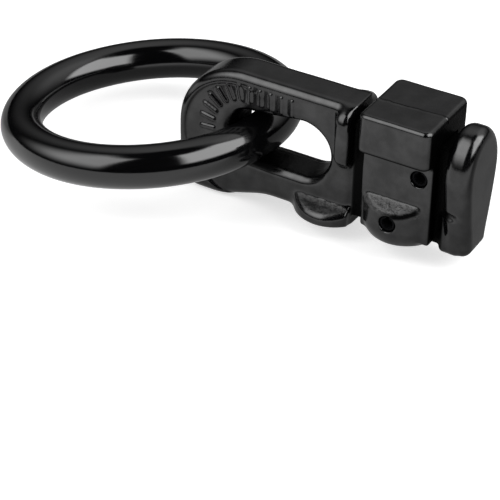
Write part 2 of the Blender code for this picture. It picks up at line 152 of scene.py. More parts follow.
def fieldSurface(field, low, high, pitch):
    # Skin of a distance field. Each lattice cell that the surface crosses gets one point, the mean
    # of the crossings on its edges, and each crossed lattice edge gets the quad of its four cells.
    # The points then slide along the field's slope until their distance is zero.
    axes = [np.arange(lo - 2 * pitch, hi + 2 * pitch, pitch) for lo, hi in zip(low, high)]
    x, y, z = np.meshgrid(*axes, indexing="ij", sparse=True)
    values = field(x, y, z)
    cellShape = tuple(size - 1 for size in values.shape)
    sums = np.zeros(cellShape + (3,))
    counts = np.zeros(cellShape)
    roundEdge = ((1, 1), (0, 1), (0, 0), (1, 0))      # the four cells that share an edge
    crossings = []
    for axis in range(3):
        first = [slice(None)] * 3
        second = [slice(None)] * 3
        first[axis], second[axis] = slice(None, -1), slice(1, None)
        start, end = values[tuple(first)], values[tuple(second)]
        index = np.argwhere((start < 0) != (end < 0))
        inner = [other for other in range(3) if other != axis]
        keep = np.all([(index[:, other] > 0) & (index[:, other] < cellShape[other])
                       for other in inner], axis=0)
        index = index[keep]
        a, b = start[tuple(index.T)], end[tuple(index.T)]
        spot = index.astype(float)
        spot[:, axis] += a / (a - b)
        for backs in sorted(roundEdge):
            cell = tuple(shifted(index, inner, backs).T)
            np.add.at(sums, cell, spot)
            np.add.at(counts, cell, 1)
        crossings.append((axis, inner, index, a < 0))
    used = counts > 0
    numbers = np.full(cellShape, -1)
    numbers[used] = np.arange(used.sum())
    points = sums[used] / counts[used][:, None] * pitch + [part[0] for part in axes]
    quads = []
    for axis, inner, index, leaving in crossings:
        quad = np.stack([numbers[tuple(shifted(index, inner, backs).T)] for backs in roundEdge], 1)
        turn = leaving if axis != 1 else ~leaving      # x, z and y frames have opposite hands
        quad[~turn] = quad[~turn][:, ::-1]
        quads.append(quad)
    return slideOnto(field, points, pitch), np.concatenate(quads)


def slideOnto(field, points, pitch, rounds=4):
    # each point moves by its distance over the slope's square, along the slope
    reach = pitch * 0.1
    leastSlope = 0.5                                   # keeps a point on a flat spot from leaping
    for _ in range(rounds):
        x, y, z = points.T
        distance = field(x, y, z)
        slope = np.stack([
            field(x + reach, y, z) - field(x - reach, y, z),
            field(x, y + reach, z) - field(x, y - reach, z),
            field(x, y, z + reach) - field(x, y, z - reach)], 1) / (2 * reach)
        size = np.maximum((slope ** 2).sum(1), leastSlope ** 2)
        move = slope * (distance / size)[:, None]
        length = np.maximum(np.linalg.norm(move, axis=1), 1e-9)
        points = points - move * np.minimum(1, pitch / length)[:, None]
    return points


def meshPiece(name, points, faces, material, body, node):
    # a piece of the fitting from points in mm and rows of corner numbers, in the place of a node
    mesh = bpy.data.meshes.new(name)
    place = (np.asarray(points, float) + [rearFace, 0, 0]) * millimetre
    mesh.from_pydata(place.tolist(), [], faces.tolist())
    mesh.shade_smooth()
    mesh.materials.append(material)
    piece = bpy.data.objects.new(name, mesh)
    scene.collection.objects.link(piece)
    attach(piece, body)
    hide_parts(node)
    return piece


def paintPoints(piece, name, values):
    # stores one number for each point, which a material reads by name
    layer = piece.data.attributes.new(name, "FLOAT", "POINT")
    layer.data.foreach_set("value", np.asarray(values, np.float32))


# materials

def linearColour(hexCode):
    # sRGB hex to linear: below 0.04045 divided by 12.92, above it the 2.4 power curve
    parts = [int(hexCode[i:i + 2], 16) / 255 for i in (1, 3, 5)]
    return tuple(c / 12.92 if c <= 0.04045 else ((c + 0.055) / 1.055) ** 2.4 for c in parts) + (1.0,)


def addNode(tree, kind, settings=None, inputs=None):
    # one node with its settings; an input is a value or another node's output
    node = tree.nodes.new(kind)
    for key, value in (settings or {}).items():
        setattr(node, key, value)
    for key, value in (inputs or {}).items():
        if isinstance(value, bpy.types.NodeSocket):
            tree.links.new(value, node.inputs[key])
        else:
            node.inputs[key].default_value = value
    return node


def newMaterial(name):
    material = bpy.data.materials.new(name)
    material.use_nodes = True
    tree = material.node_tree
    return material, tree, tree.nodes["Principled BSDF"]


def patternsOn(tree, sizes):
    # Smooth random patterns on the piece's own coordinates. Each has its features' size in mm, its
    # number of octaves and the strength of each finer one.
    place = addNode(tree, "ShaderNodeTexCoord").outputs["Object"]
    return {name: addNode(tree, "ShaderNodeTexNoise", inputs={
        "Vector": place, "Scale": 1 / (size * millimetre), "Detail": octaves,
        "Roughness": strength}).outputs["Fac"]
        for name, (size, octaves, strength) in sizes.items()}


def raiseSkin(tree, shader, parts):
    # adds up patterns times their heights in metres, and the sum tips the shader's normal
    height = 0.0
    for pattern, full in parts:
        height = addNode(tree, "ShaderNodeMath", {"operation": "MULTIPLY_ADD"},
                         {0: pattern, 1: full, 2: height}).outputs[0]
    bump = addNode(tree, "ShaderNodeBump", inputs={
        "Strength": 1.0, "Distance": 1.0, "Height": height})
    tree.links.new(bump.outputs["Normal"], shader.inputs["Normal"])


noiseFrom, noiseTo = 0.35, 0.65    # most of a random pattern lies between these values

coat = {
    "colour": "#070708",           # black powder
    "paleColour": "#323232",       # where the coat is thin on rough ledges
    "shadeAndDarkCoatColour": "#020202",       # painted shade in gaps, hollows and under rims, the dark parting line, and less so on dark granular faces
    "roughness": (0.12, 0.216),    # from patch to patch
    "sandRoughness": 0.22,         # added on a granular face
    "shine": (0.40, 0.60),         # gloss from patch to patch, where 0.5 is a plain clear coat
    "shadeAndDarkCoatShine": 0.03,             # gloss left where shade is painted, on the dark parting line and on granular faces
    "patterns": {
        "patches": (5.0, 4.0, 0.6),
        "ripple": (2.6, 2.0, 0.4),     # the coat's orange peel
        "grit": (0.8, 2.0, 0.5),       # fine unevenness that frays the reflections
        "sand": (0.7, 3.0, 0.6),       # sand grains of the casting mould under the coat
    },
    "rippleHeight": 0.016, "gritHeight": 0.007, "sandHeight": 0.17,     # mm
    "speckle": (0.38, 0.6),        # sand pattern from bare black to fully pale
}


def castCoatMaterial():
    # Glossy black powder coat over sand-cast steel: sharp reflections on the flats, faint orange
    # peel, and a granular skin where the mould's sand shows through on the ledges.
    # Painted shade turns the coat near black and glossless in gaps, hollows and under rims; the dark
    # parting line and granular ledges share that darker coat.
    material, tree, shader = newMaterial("black powder coat on cast steel")
    pattern = patternsOn(tree, coat["patterns"])
    pale = addNode(tree, "ShaderNodeAttribute", {"attribute_name": "sandSkin"}).outputs["Fac"]
    shadeAndDarkCoat = addNode(tree, "ShaderNodeAttribute", {"attribute_name": "shadeAndDarkCoatSkin"}).outputs["Fac"]
    rough = addNode(tree, "ShaderNodeMath", {"operation": "ADD"}, {0: pale, 1: shadeAndDarkCoat}).outputs[0]
    sandHeight = addNode(tree, "ShaderNodeMath", {"operation": "MULTIPLY"}, {
        0: rough, 1: coat["sandHeight"] * millimetre}).outputs[0]
    raiseSkin(tree, shader, [(pattern["ripple"], coat["rippleHeight"] * millimetre),
                             (pattern["grit"], coat["gritHeight"] * millimetre),
                             (pattern["sand"], sandHeight)])
    speckle = addNode(tree, "ShaderNodeMapRange", inputs={
        "Value": pattern["sand"], "From Min": coat["speckle"][0], "From Max": coat["speckle"][1],
        "To Max": pale}).outputs["Result"]
    colour = addNode(tree, "ShaderNodeMix", {"data_type": "RGBA"}, {
        "Factor": speckle, "A": linearColour(coat["colour"]), "B": linearColour(coat["paleColour"])})
    # painted shade: near black where the attribute marks gaps, hollows and rims, and on the parting line
    # and granular faces
    colour = addNode(tree, "ShaderNodeMix", {"data_type": "RGBA"}, {
        "Factor": shadeAndDarkCoat, "A": colour.outputs["Result"], "B": linearColour(coat["shadeAndDarkCoatColour"])})
    tree.links.new(colour.outputs["Result"], shader.inputs["Base Color"])
    patchy = {look: addNode(tree, "ShaderNodeMapRange", inputs={
        "Value": pattern["patches"], "From Min": noiseFrom, "From Max": noiseTo,
        "To Min": coat[look][0], "To Max": coat[look][1]}).outputs["Result"]
        for look in ("roughness", "shine")}
    dulled = addNode(tree, "ShaderNodeMath", {"operation": "MULTIPLY_ADD"}, {
        0: rough, 1: coat["sandRoughness"], 2: patchy["roughness"]})
    tree.links.new(dulled.outputs[0], shader.inputs["Roughness"])
    # painted shade: the gloss goes there as well
    shine = addNode(tree, "ShaderNodeMix", {"data_type": "FLOAT"}, {
        "Factor": shadeAndDarkCoat, "A": patchy["shine"], "B": coat["shadeAndDarkCoatShine"]})
    tree.links.new(shine.outputs["Result"], shader.inputs["Specular IOR Level"])
    return material


ringCoat = {
    "colour": "#070708",
    "roughness": (0.09, 0.13),     # from patch to patch
    "patterns": {"patches": (12.0, 4.0, 0.6), "wave": (6.0, 1.0, 0.4), "grit": (0.8, 2.0, 0.5)},
    "waveHeight": 0.02, "gritHeight": 0.005,     # mm
}


def ringCoatMaterial():
    # Glossy black coat over a forged and tumbled ring: smoother than the castings, with long
    # clean reflections and only a trace of unevenness.
    material, tree, shader = newMaterial("black coat on forged ring")
    pattern = patternsOn(tree, ringCoat["patterns"])
    shader.inputs["Base Color"].default_value = linearColour(ringCoat["colour"])
    raiseSkin(tree, shader, [(pattern["wave"], ringCoat["waveHeight"] * millimetre),
                             (pattern["grit"], ringCoat["gritHeight"] * millimetre)])
    patchy = addNode(tree, "ShaderNodeMapRange", inputs={
        "Value": pattern["patches"], "From Min": noiseFrom, "From Max": noiseTo,
        "To Min": ringCoat["roughness"][0], "To Max": ringCoat["roughness"][1]})
    tree.links.new(patchy.outputs["Result"], shader.inputs["Roughness"])
    return material


# Spring steel strip rolled into a pin and blackened: dull, nearly black, a little uneven in tone.
pinSteel = {
    "name": "blackened roll pin steel", "colours": ("#050506", "#0e0e10"),
    "patterns": {"marks": (0.8, 4.0, 0.6)}, "metallic": 0.15, "roughness": 0.6, "shine": 0.04,
}
# Drawn music wire, oiled: bright grey metal, a little uneven in tone.
springSteel = {
    "name": "drawn spring wire", "colours": ("#8a8b8e", "#a6a7aa"),
    "patterns": {"marks": (0.5, 3.0, 0.6)}, "metallic": 1.0, "roughness": 0.3, "shine": 0.5,
}


def steelMaterial(steel):
    # worked steel whose colour wanders between two greys with its marks
    material, tree, shader = newMaterial(steel["name"])
    dark, light = steel["colours"]
    tint = addNode(tree, "ShaderNodeMix", {"data_type": "RGBA"}, {
        "Factor": patternsOn(tree, steel["patterns"])["marks"],
        "A": linearColour(dark), "B": linearColour(light)})
    tree.links.new(tint.outputs["Result"], shader.inputs["Base Color"])
    shader.inputs["Metallic"].default_value = steel["metallic"]
    shader.inputs["Roughness"].default_value = steel["roughness"]
    shader.inputs["Specular IOR Level"].default_value = steel["shine"]
    return material


castSkin = castCoatMaterial()
ringSkin = ringCoatMaterial()
pinSkin = steelMaterial(pinSteel)
springSkin = steelMaterial(springSteel)


# cast eye, web and stud foot

eye = {
    "outerEnd": castingLow[0] - rearFace, "shoulder": -4.0, "shoulderEdge": 0.5,
    "armTop": 41.2, "armUnder": 4.5,
    "thickness": 12.1,
    "edge": 2.7,                  # rounding of the outer rim
    "topCorner": 21.4, "lowCorner": 6.5,
    "riseStart": -48.3, "riseLength": 20.0,   # the underside rises from the head to the arm
    "holeStart": -44.7, "holeEnd": -11.0, "holeUnder": 14.4,
    "holeOuter": 7.9, "holeInner": 8.9,       # radii of the hole's two ends
    "holeEdge": (2.2, 0.4),       # rounding of the hole's near and far rim
    "holeEdgeChange": (-2.0, 2.0),            # where it goes from one to the other, along y
    "holeBulge": 0.6,             # by which the hole's wall swells between its rims
    "holeDraft": 2.8,             # by which the outer end is shorter on the far side
    "recessCentre": (-39.2, 19.3), "recessRadius": 18.6, "recessRim": (-0.8, 0.2),
    "recessDepth": 0.45, "recessSlope": 0.0454,
}
ribs = {                          # plain ribs across a band on the eye's sides
    "count": 16, "spacing": 3.3, "start": 14.0,   # mm along the band, from its inner end
    "reach": (11.4, 15.3),        # from the middle of the hole's outer end
    "width": 1.6, "height": 0.48, "flank": (-0.45, 0.15),
}
pad = {"length": 4.8, "width": 18.6, "top": 40.4, "under": 22.8, "corner": 4.4, "edge": 2.1,
       "fillet": 1.4}
heel = {"radius": 11.1, "fromShoulder": 8.3, "under": 4.6, "rim": 7.8, "root": 9.6,
        "edge": 0.9, "rimEdge": 1.5, "setBack": 0.2, "frontEdge": 0.4, "fillet": 1.6}
web = {"width": 9.6, "under": 7.4, "top": 37.0, "sunk": 3.0, "corner": 0.5, "fillet": 0.8,
       "windowCorner": 0.3, "windowEdge": 0.2}
foot = {
    "start": 23.8, "end": 31.5, "edge": 2.9, "fillet": 0.8,
    "halfWidth": 9.9, "middle": 30.2, "top": 42.9,    # the round stud
    "tailHalf": 6.1, "under": 5.6, "tailCorner": 2.6, "fullness": 0.7,
    "stepBack": 1.5, "stepHalf": 5.9, "stepTop": 18.0, "stepEdge": 1.6, "stepFillet": 0.8,
    "notchRadius": 1.5, "notchHeight": 19.0, "notchOut": 7.5, "notchSpread": 26.0,
    "notchEdge": 0.6,
}
pins = {"upper": (16.6, 27.5), "lower": (9.9, 13.2), "radius": 2.3, "seat": 0.15, "seatEdge": 0.35}
springs = {"length": 7.0, "diameter": 5.4, "wire": 0.75, "turns": 4.0, "windowGap": 0.3}


def bandRibs(x, z):
    # height of plain raised ribs across a band that runs over the hole and round its outer end
    hubX, hubZ = eye["holeStart"] + eye["holeOuter"], eye["holeUnder"] + eye["holeOuter"]
    near, far = ribs["reach"]
    bandRadius = (near + far) / 2
    straight = (x > hubX) & (z > hubZ)
    radius = np.where(straight, z - hubZ, np.hypot(x - hubX, z - hubZ))
    turn = (np.arctan2(z - hubZ, x - hubX) - math.pi / 2) % (2 * math.pi)
    along = np.where(straight, hubX - x, turn * bandRadius)
    number = np.clip(np.round((along + ribs["start"]) / ribs["spacing"]), 0, ribs["count"] - 1)
    offset = along + ribs["start"] - number * ribs["spacing"]
    offTurn = np.clip(offset / bandRadius, -1.5, 1.5)      # short of a right angle
    across = np.where(straight, offset, radius * np.sin(offTurn))
    past = np.maximum(near - radius, radius - far)
    outside = np.hypot(across, np.maximum(past, 0)) - ribs["width"] / 2
    return ribs["height"] * (1 - smoothRise(outside, *ribs["flank"]))


def recessLevel(x, z):
    # how deep the eye's sides are sunk: a tilted round recess with raised plain ribs on it
    centreX, centreZ = eye["recessCentre"]
    pastRim = np.hypot(x - centreX, z - centreZ) - eye["recessRadius"]
    depth = np.maximum(eye["recessDepth"] - eye["recessSlope"] * (x - centreX), 0)
    return depth * (1 - smoothRise(pastRim, *eye["recessRim"])) - bandRibs(x, z)


def eyePlateField(x, y, z):
    # an upright plate: rounded outline, slot-shaped hole and sunk sides
    outline = roundedMeet(eye["outerEnd"] - x, z - eye["armTop"], eye["topCorner"])
    under = eye["armUnder"] * smoothRise(x, eye["riseStart"], eye["riseStart"] + eye["riseLength"])
    outline = roundedMeet(outline, under - z, eye["lowCorner"])
    outline = np.maximum(outline, x - eye["shoulder"])
    side = np.abs(y) - eye["thickness"] / 2 + recessLevel(x, z)
    plate = roundedMeet(outline, side, eye["edge"])
    start = eye["holeStart"] + eye["holeOuter"] + eye["holeDraft"] * (y / eye["thickness"] + 0.5)
    end = eye["holeEnd"] - eye["holeInner"]
    share = np.clip((x - start) / (end - start), 0, 1)
    radius = eye["holeOuter"] + (eye["holeInner"] - eye["holeOuter"]) * share
    hole = np.hypot(x - start - (end - start) * share, z - eye["holeUnder"] - radius) - radius
    hole = hole + eye["holeBulge"] * np.maximum(1 - (2 * y / eye["thickness"]) ** 2, 0)
    near, far = eye["holeEdge"]
    return cutOut(plate, hole, near + (far - near) * smoothRise(y, *eye["holeEdgeChange"]))


def heelField(x, y, z):
    # a round disc under the shoulder, with a ledge on each side that slopes outwards
    radius = np.hypot(x - eye["shoulder"] + heel["fromShoulder"], y)
    ledge, steepness = aboveLedge(heel, eye["thickness"] / 2, y, z)
    disc = roundedMeet(radius - heel["radius"], heel["under"] - z, heel["edge"])
    disc = roundedMeet(disc, ledge / steepness, heel["rimEdge"])
    return roundedMeet(disc, x - eye["shoulder"] + heel["setBack"], heel["frontEdge"])


def padField(x, y, z):
    # an upright cushion-shaped collar behind the plunger
    wide = roundedBox(0 * x, y, z, (-farAway, -pad["width"] / 2, pad["under"]),
                      (farAway, pad["width"] / 2, pad["top"]), pad["corner"])
    return roundedMeet(wide, slab(x, eye["shoulder"] - pad["length"], eye["shoulder"]), pad["edge"])


def notchDistance(x, y, z):
    # a round groove on each side that runs out of the foot's side as it goes forward
    spread = math.radians(foot["notchSpread"])
    ahead, aside = x - foot["start"], np.abs(y) - foot["notchOut"]
    across = aside * math.cos(spread) - ahead * math.sin(spread)
    groove = np.hypot(across, z - foot["notchHeight"]) - foot["notchRadius"]
    return np.maximum(groove, -foot["stepBack"] - ahead)


def footField(x, y, z):
    # a round stud that narrows into a tail, a step behind the tail, and a pinch above the step
    rise = np.clip((z - foot["under"] - foot["tailCorner"])
                   / (foot["middle"] - foot["under"] - foot["tailCorner"]), 0, 1)
    share = rise + foot["fullness"] * rise ** 2 * (1 - rise)
    side = np.abs(y) - foot["tailHalf"] - (foot["halfWidth"] - foot["tailHalf"]) * share
    above = np.maximum(z - foot["middle"], 0)
    height = foot["top"] - foot["middle"]
    flat = np.hypot(y / foot["halfWidth"], above / height)
    steep = np.hypot(y / foot["halfWidth"] ** 2, above / height ** 2)
    stud = flat * (flat - 1) / np.maximum(steep, 1e-6)
    outline = roundedMeet(np.where(z > foot["middle"], stud, side), foot["under"] - z,
                          foot["tailCorner"])
    step = roundedBox(x, y, z, (foot["start"] - foot["stepBack"], -foot["stepHalf"], foot["under"]),
                      (foot["end"] - foot["edge"], foot["stepHalf"], foot["stepTop"]),
                      foot["stepEdge"])
    body = roundedMeet(outline, slab(x, foot["start"], foot["end"]), foot["edge"])
    body = filletJoin(body, step, foot["stepFillet"])
    return cutOut(body, notchDistance(x, y, z), foot["notchEdge"])


def castingField(x, y, z):
    # eye plate, pad and heel behind a flat shoulder face, then the web with its windows and the foot
    body = filletJoin(eyePlateField(x, y, z), padField(x, y, z), pad["fillet"])
    body = filletJoin(body, heelField(x, y, z), heel["fillet"])
    body = roundedMeet(body, x - eye["shoulder"], eye["shoulderEdge"])
    beam = roundedBox(x, y, z, (eye["shoulder"] - web["sunk"], -web["width"] / 2, web["under"]),
                      (foot["start"] + web["sunk"], web["width"] / 2, web["top"]), web["corner"])
    body = filletJoin(body, beam, web["fillet"])
    body = filletJoin(body, footField(x, y, z), foot["fillet"])
    gap = springs["windowGap"]
    half = springs["diameter"] / 2 + gap
    for name in ("upper", "lower"):
        pinX, pinZ = pins[name]
        rear, front = pinX - pins["radius"] - springs["length"] - 2 * gap, pinX + pins["radius"] + gap
        window = roundedBox(x, y, z, (rear, -farAway, pinZ - half), (front, farAway, pinZ + half),
                            web["windowCorner"])
        body = cutOut(body, window, web["windowEdge"])
    return body


castShadeAndDarkCoat = {       # painted shade and a darker granular coat, each zone with the start and finish of its fades in mm
    "ledgeRise": (6.6, 7.8), "ledgeTop": (10.2, 11.0),        # heel's ledge, by height
    "ledgeRoot": (6.0, 6.6), "ledgeRim": (9.4, 10.6),         # from the middle, and from its axis
    "wallStart": (-46.0, -44.0), "wallEnd": (-9.5, -8.0),     # painted shade on the hole's wall, along x
    "wallRim": (3.6, 4.8),                                    # towards the eye's sides
    "wallMiddle": 23.0, "wallReach": (10.5, 12.0),            # over and under its middle height
    "neckStart": (-4.4, -3.9), "neckEnd": (23.3, 23.9),       # painted shade in the gap, from the shoulder to the foot
    "notchReach": (0.2, 0.8), "notchEnd": (24.8, 27.3),       # painted shade in the pinch's groove: off it, and along x
    "ledge": 0.3, "wall": 0.8,                                # how dark, where 1 is black
}
castGrain = {"shadeAndDarkCoat": 0.07, "ledge": 0.11, "size": 1.1,        # mm high and across
             "end": -4.5,                                     # none on the painted-shade zones past here, along x
             "waver": 0.045, "waverSize": 5.5}


def heelLedge(x, y, z):
    # 1 on the heel's sloping ledge, 0 elsewhere
    fromAxis = np.hypot(x - eye["shoulder"] + heel["fromShoulder"], y)
    ledge = between(z, castShadeAndDarkCoat["ledgeRise"], castShadeAndDarkCoat["ledgeTop"])
    return (ledge * smoothRise(np.abs(y), *castShadeAndDarkCoat["ledgeRoot"])
            * (1 - smoothRise(fromAxis, *castShadeAndDarkCoat["ledgeRim"])))


def castingShadeAndDarkCoat(x, y, z):
    # painted shade on the hole's wall, the web and in the pinch's groove, and a darker coat on the
    # heel's granular ledge
    wall = (1 - smoothRise(np.abs(y), *castShadeAndDarkCoat["wallRim"])) * (
        1 - smoothRise(np.abs(z - castShadeAndDarkCoat["wallMiddle"]), *castShadeAndDarkCoat["wallReach"]))
    wall = wall * between(x, castShadeAndDarkCoat["wallStart"], castShadeAndDarkCoat["wallEnd"])
    neck = between(x, castShadeAndDarkCoat["neckStart"], castShadeAndDarkCoat["neckEnd"])
    notch = 1 - smoothRise(notchDistance(x, y, z), *castShadeAndDarkCoat["notchReach"])
    notch = notch * (1 - smoothRise(x, *castShadeAndDarkCoat["notchEnd"]))
    return np.clip(castShadeAndDarkCoat["ledge"] * heelLedge(x, y, z) + castShadeAndDarkCoat["wall"] * wall + neck + notch,
                   0, 1)


def sandyCastingField(x, y, z):
    # the casting with its mould's sand on the ledge and in the hole, and a slight waver all over
    rough = castGrain["shadeAndDarkCoat"] * castingShadeAndDarkCoat(x, y, z) * (x < castGrain["end"])
    rough = rough + castGrain["ledge"] * heelLedge(x, y, z)
    return (castingField(x, y, z) - rough * grain(x, y, z, castGrain["size"], seed=3)
            - castGrain["waver"] * grain(x, y, z, castGrain["waverSize"], seed=8))


print("casting: eye, pad, heel, web and stud foot")
castingPitch = 0.40
points, quads = fieldSurface(sandyCastingField, castingLow - [rearFace, 0, 0],
                             castingHigh - [rearFace, 0, 0], castingPitch)
casting = meshPiece("castEyeAndFoot", points, quads, castSkin, "casting",
                    "body_casting")
paintPoints(casting, "sandSkin", heelLedge(*points.T))
# painted shade on the hole's wall, the web and the groove, and the heel ledge's darker coat
paintPoints(casting, "shadeAndDarkCoatSkin", castingShadeAndDarkCoat(*points.T))


# plunger

cap = {"halfWidth": 11.7, "top": 43.9, "under": 32.2, "edge": 1.35, "corner": 2.4,
       "rear": -0.4, "front": plungerLength, "fillet": 0.7}
seam = {"from": (-1.0, -2.0), "to": (20.7, -1.0),      # x and y of its ends
        "height": 0.26, "width": 0.22, "skin": 1.5,    # raises the cap only this near its top
        "wander": ((0.16, 1.3), (0.09, 0.5)),          # sideways reach of a swing, and its length
        "patchy": (0.4, 2.3)}                          # by how much it fades, and over what length
cheek = {"halfWidth": 8.1, "under": 7.6, "edge": 0.9, "intoCap": 3.0}
lobe = {"radius": 11.8, "fromRear": 9.7, "under": 5.4, "rim": 16.3, "root": 19.0, "edge": 1.1,
        "chamfer": 2.4, "chamferEdges": (2.0, 1.2), "endEdge": 0.8, "fillet": 0.8}
slot = {"halfWidth": 5.1, "top": 37.3, "edge": 0.3}


def lobeField(x, y, z):
    # a round boss low on the plunger: a ledge that slopes outwards, a softened rim below
    radius = np.hypot(x - lobe["fromRear"], y)
    ledge, steepness = aboveLedge(lobe, cheek["halfWidth"], y, z)
    lowSlope = (radius - lobe["radius"] + lobe["chamfer"] - (z - lobe["under"])) / math.sqrt(2)
    disc = roundedMeet(radius - lobe["radius"], lowSlope, lobe["chamferEdges"][0])
    disc = roundedMeet(disc, lobe["under"] - z, lobe["chamferEdges"][1])
    disc = roundedMeet(disc, ledge / steepness, lobe["edge"])
    return roundedMeet(disc, slab(x, 0, plungerLength), lobe["endEdge"])


def capSeam(x, y):
    # the thin line left by the mould's parting along the cap's top, 1 at its strongest
    (startX, startY), (endX, endY) = seam["from"], seam["to"]
    middle = startY + (endY - startY) * (x - startX) / (endX - startX)
    for seed, (reach, length) in zip((11, 12), seam["wander"]):
        middle = middle + reach * grain(x, 0 * x, 0 * x, length, seed)
    fade, length = seam["patchy"]
    strength = 1 - fade + fade * grain(x, 0 * x, 0 * x, length, seed=13)
    return strength * np.exp(-((y - middle) / seam["width"]) ** 2)


def plungerField(x, y, z):
    # cap, cheeks and lobe as one form, with the slot for the web and the two pin holes cut out
    outline = roundedMeet(slab(x, cap["rear"], cap["front"]), np.abs(y) - cap["halfWidth"],
                          cap["corner"])
    block = roundedMeet(outline, slab(z, cap["under"], cap["top"]), cap["edge"])
    block = block - seam["height"] * capSeam(x, y) * (z > cap["top"] - seam["skin"])
    cheeks = roundedBox(x, y, z, (0, -cheek["halfWidth"], cheek["under"]),
                        (plungerLength, cheek["halfWidth"], cap["under"] + cheek["intoCap"]),
                        cheek["edge"])
    body = filletJoin(block, cheeks, cap["fillet"])
    body = filletJoin(body, lobeField(x, y, z), lobe["fillet"])
    opening = np.maximum(np.abs(y) - slot["halfWidth"], z - slot["top"])
    body = cutOut(body, opening, slot["edge"])
    for name in ("upper", "lower"):
        pinX, pinZ = pins[name]
        hole = np.hypot(x - pinX, z - pinZ) - pins["radius"] - pins["seat"]
        body = cutOut(body, hole, pins["seatEdge"])
    return body


plungerMarks = {   # granular zones, the dark parting line and painted shade, each with the start and finish of its fades in mm
    "ledgeRise": (15.4, 16.4), "ledgeTop": (18.8, 19.5),      # lobe's ledge, by height
    "ledgeRoot": (8.2, 8.7), "ledgePast": 1.0,                # from the middle, and past its rim
    "face": (-0.5, -0.15),                                    # painted shade, off the face towards the foot
    "rimRise": (-1.2, -0.4), "rimTop": (0.75, 1.35),          # painted shade over the cap's lower rim
    "seamSkin": 0.8,                                          # under the cap's top
    "drop": (0.0, 0.35), "dropEnd": (0.9, 1.4),               # painted shade crescent, down from the ledge
    "turn": (-12.0, 10.0), "turnEnd": (38.0, 46.0),           # degrees round the lobe
    "crescentDepth": (-1.5, -0.8),                            # off the lobe's radius
    "seam": 0.9,                                              # how dark, where 1 is black
}
plungerGrain = {"ledge": 0.09, "size": 1.0, "waver": 0.04, "waverSize": 5.0}   # mm


def plungerSand(x, y, z):
    # the lobe's sloping ledge keeps the grain of the mould
    radius = np.hypot(x - lobe["fromRear"], y)
    ledge = between(z, plungerMarks["ledgeRise"], plungerMarks["ledgeTop"])
    return (ledge * smoothRise(np.abs(y), *plungerMarks["ledgeRoot"])
            * (radius < lobe["radius"] + plungerMarks["ledgePast"]))


def plungerShadeAndDarkCoat(x, y, z):
    # painted shade on the face that looks at the stud foot, on the cap's lower rim and in a crescent
    # under the front half of the lobe's ledge; the parting line on the cap's top is dark and dull
    face = smoothRise(x - plungerLength, *plungerMarks["face"])
    rim = between(z - cap["under"], plungerMarks["rimRise"], plungerMarks["rimTop"])
    line = capSeam(x, y) * (z > cap["top"] - plungerMarks["seamSkin"])
    ahead = x - lobe["fromRear"]
    drop = -aboveLedge(lobe, cheek["halfWidth"], y, z)[0]
    turn = np.degrees(np.arctan2(ahead, np.abs(y)))
    crescent = (between(drop, plungerMarks["drop"], plungerMarks["dropEnd"])
                * between(turn, plungerMarks["turn"], plungerMarks["turnEnd"])
                * smoothRise(np.hypot(ahead, y) - lobe["radius"], *plungerMarks["crescentDepth"]))
    return np.clip(face + rim + plungerMarks["seam"] * line + crescent, 0, 1)


def sandyPlungerField(x, y, z):
    # the plunger with its mould's sand on the ledge and a slight waver all over
    sand = plungerGrain["ledge"] * plungerSand(x, y, z)
    return (plungerField(x, y, z) - sand * grain(x, y, z, plungerGrain["size"], seed=5)
            - plungerGrain["waver"] * grain(x, y, z, plungerGrain["waverSize"], seed=9))


print("plunger: cap, cheeks and lobe")
plungerPitch = 0.30
points, quads = fieldSurface(sandyPlungerField, plungerLow - [rearFace, 0, 0],
                             plungerHigh - [rearFace, 0, 0], plungerPitch)
plunger = meshPiece("sprungPlunger", points, quads, castSkin, "plunger_set",
                    "plunger")
paintPoints(plunger, "sandSkin", plungerSand(*points.T))
# painted shade on the face towards the foot, under the cap's rim and under the lobe's ledge, and the
# dark parting line
paintPoints(plunger, "shadeAndDarkCoatSkin", plungerShadeAndDarkCoat(*points.T))


# turned and wound pieces: a profile carried round or along a path

def gridFaces(rows, columns, closeRows=False):
    # quads of a grid of points whose columns run round and meet
    row = np.arange(rows if closeRows else rows - 1)[:, None]
    column = np.arange(columns)[None, :]
    nextRow, nextColumn = (row + 1) % rows, (column + 1) % columns
    corners = [row * columns + column, row * columns + nextColumn,
               nextRow * columns + nextColumn, nextRow * columns + column]
    return np.stack([np.broadcast_to(c, (row.size, columns)) for c in corners], -1).reshape(-1, 4)


ring = {"radius": 37.6, "wire": 12.0, "droop": 7.2, "lean": 2.9, "aside": 0.5,
        "around": 288, "across": 72,
        "hammer": (0.05, 0.03)}      # mm, height of slow and of quick unevenness


def ringPoints():
    # a torus: a wire circle carried round a circle, with three slow and seven quick waves
    pivot = np.array(joints["ring_swing"]["pos_m"]) / millimetre
    turn = np.linspace(0, 2 * math.pi, ring["around"], endpoint=False)[:, None]
    wireTurn = np.linspace(0, 2 * math.pi, ring["across"], endpoint=False)[None, :]
    slow, quick = ring["hammer"]
    wire = (ring["wire"] / 2 + slow * np.sin(3 * turn + 1) * np.sin(2 * wireTurn)
            + quick * np.sin(7 * turn) * np.cos(wireTurn))
    out = ring["radius"] + wire * np.cos(wireTurn)
    flat = np.stack([out * np.cos(turn), out * np.sin(turn), wire * np.sin(wireTurn)], -1)
    flat = flat.reshape(-1, 3) + [-ring["radius"], ring["aside"], 0]
    tilt = Matrix.Rotation(-math.radians(ring["droop"]), 3, "Y") @ Matrix.Rotation(
        -math.radians(ring["lean"]), 3, "X")
    return flat @ np.array(tilt).T + pivot - [rearFace, 0, 0]


print("ring")
meshPiece("forgedRing", ringPoints(), gridFaces(ring["around"], ring["across"], True),
          ringSkin, "ring_body", "ring")

rollPin = {"bore": 1.45, "slit": 0.9, "chamfer": 0.45, "tip": 0.55, "around": 72,
           "upperHalf": 7.4, "lowerHalf": 11.1, "sharpFrom": 30}


